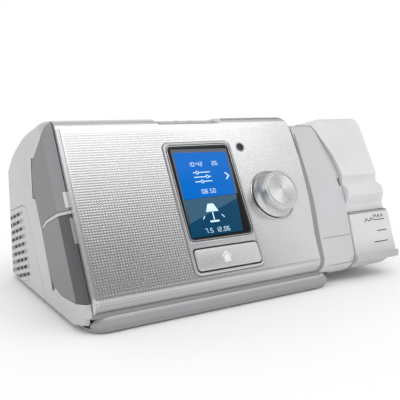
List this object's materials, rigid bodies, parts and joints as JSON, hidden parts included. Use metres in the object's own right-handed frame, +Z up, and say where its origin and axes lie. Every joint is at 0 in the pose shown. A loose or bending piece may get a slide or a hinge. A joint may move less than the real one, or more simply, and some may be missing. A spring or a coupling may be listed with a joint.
{
  "type": "bilevel pap machine",
  "caption": "Bedside bilevel pap machine with sloped silver panel, screen, press dial, rear air outlet and a heated water tub that slides out to the right.",
  "frame": {"origin": "on the ground under the middle of the whole machine, water tub included", "axes": "+X to the right along the machine, away from the covers at its left end; +Y to the back; +Z up"},
  "size_m": [0.253, 0.1506, 0.116],
  "materials": {
    "base_grey": "fine satin grain",
    "foot_rubber": "matt",
    "screw_steel": "plain",
    "housing_silver": "fine satin grain",
    "panel_silver": "silver with a relief of fine dots",
    "shell_silver": "satin",
    "dock_grey": "satin",
    "heater_alu": "turned",
    "seal_rubber": "matt",
    "frame_silver": "half gloss",
    "screen_glass": "gloss",
    "lcd_blue": "lit display",
    "sensor_smoke": "gloss",
    "board_green": "coated",
    "board_dark": "coated",
    "socket_metal": "plain",
    "black_plastic": "satin",
    "ring_chrome": "bright",
    "white_plastic": "satin",
    "shaft_steel": "ground",
    "knob_metal": "spun",
    "cap_metal": "spun in rings",
    "button_silver": "half gloss",
    "clip_grey": "satin",
    "outlet_grey": "satin",
    "duct_grey": "satin",
    "motor_steel": "drawn",
    "winding_copper": "varnished",
    "foam_grey": "open foam",
    "filter_white": "pleated",
    "grille_grey": "satin",
    "cover_dark": "satin",
    "cover_mid": "satin",
    "tub_clear": "clear moulding",
    "tray_grey": "half gloss",
    "seal_grey": "matt",
    "lid_grey": "half gloss"
  },
  "bodies": {
    "case": {"base_tray": "base_grey", "rubber_feet": "foot_rubber", "base_screws": "screw_steel", "upper_housing": "housing_silver", "front_panel": "panel_silver", "humidifier_shell": "shell_silver", "humidifier_dock": "dock_grey", "heater_plate": "heater_alu", "docking_seals": "seal_rubber", "screen_frame": "frame_silver", "screen_lens": "screen_glass", "lcd_module": "lcd_blue", "sensor_lens": "sensor_smoke", "display_board": "board_green", "main_board": "board_dark", "board_screws": "screw_steel", "sd_socket": "socket_metal", "adapter_connector": "black_plastic", "dial_encoder": "black_plastic", "dial_ring": "ring_chrome", "home_switch": "black_plastic", "start_switch": "board_green", "power_inlet": "black_plastic", "clip_pin": "screw_steel", "air_outlet": "outlet_grey", "outlet_elbow": "duct_grey", "blower_duct": "seal_rubber", "blower_mount": "seal_rubber", "motor_case": "motor_steel", "motor_stator": "winding_copper", "motor_bearings": "shaft_steel", "volute_lower": "duct_grey", "volute_upper": "duct_grey", "muffler_foam": "foam_grey", "air_filter": "filter_white", "filter_cover_pin": "screw_steel", "sd_cover_pin": "screw_steel", "adapter_cover_pin": "screw_steel"},
    "start_key": {"start_button": "button_silver"},
    "home_key": {"home_button": "button_silver"},
    "dial_stem": {"dial_plunger": "white_plastic"},
    "dial": {"dial_shaft": "shaft_steel", "dial_knob": "knob_metal", "dial_cap": "cap_metal"},
    "card_door": {"sd_cover": "cover_dark"},
    "adapter_door": {"adapter_cover": "cover_mid"},
    "filter_door": {"filter_cover": "grille_grey"},
    "plug_clip": {"retention_clip": "clip_grey"},
    "rotor": {"rotor_shaft": "shaft_steel", "impeller": "white_plastic"},
    "tub": {"tub_base": "tub_clear", "tub_tray": "tray_grey", "tub_plate": "heater_alu", "tub_seal": "seal_grey", "tub_lid": "lid_grey"}
  },
  "joints": [
    {"name": "start_press", "type": "slide", "parent": "case", "child": "start_key", "axis": [0, 0, -1], "range_m": [0, 0.001], "stiffness_N_per_m": 1500},
    {"name": "home_press", "type": "slide", "parent": "case", "child": "home_key", "axis": [0, 0.8746, -0.4848], "range_m": [0, 0.0008], "stiffness_N_per_m": 1500},
    {"name": "dial_press", "type": "slide", "parent": "case", "child": "dial_stem", "axis": [0, 0.8746, -0.4848], "range_m": [0, 0.0006], "stiffness_N_per_m": 1500},
    {"name": "dial_turn", "type": "hinge", "parent": "dial_stem", "child": "dial", "pos_m": [0.0233, -0.04736, 0.06385], "axis": [0, -0.8746, 0.4848], "continuous": true},
    {"name": "card_door_hinge", "type": "hinge", "parent": "case", "child": "card_door", "pos_m": [-0.1248, 0.00715, 0.081], "axis": [0, 0, -1], "range_deg": [0, 85]},
    {"name": "adapter_door_hinge", "type": "hinge", "parent": "case", "child": "adapter_door", "pos_m": [-0.1248, -0.01775, 0.031], "axis": [0, -0.4337, -0.9011], "range_deg": [0, 85]},
    {"name": "filter_door_hinge", "type": "hinge", "parent": "case", "child": "filter_door", "pos_m": [-0.0955, 0.07345, 0.021], "axis": [0, 0, -1], "range_deg": [0, 85]},
    {"name": "plug_clip_hinge", "type": "hinge", "parent": "case", "child": "plug_clip", "pos_m": [-0.0575, 0.07305, 0.0065], "axis": [-1, 0, 0], "range_deg": [0, 90]},
    {"name": "impeller_spin", "type": "hinge", "parent": "case", "child": "rotor", "pos_m": [-0.0615, 0.02225, 0.05], "axis": [0, 0, 1], "continuous": true},
    {"name": "tub_slide", "type": "slide", "parent": "case", "child": "tub", "axis": [1, 0, 0], "range_m": [0, 0.095]}
  ]
}
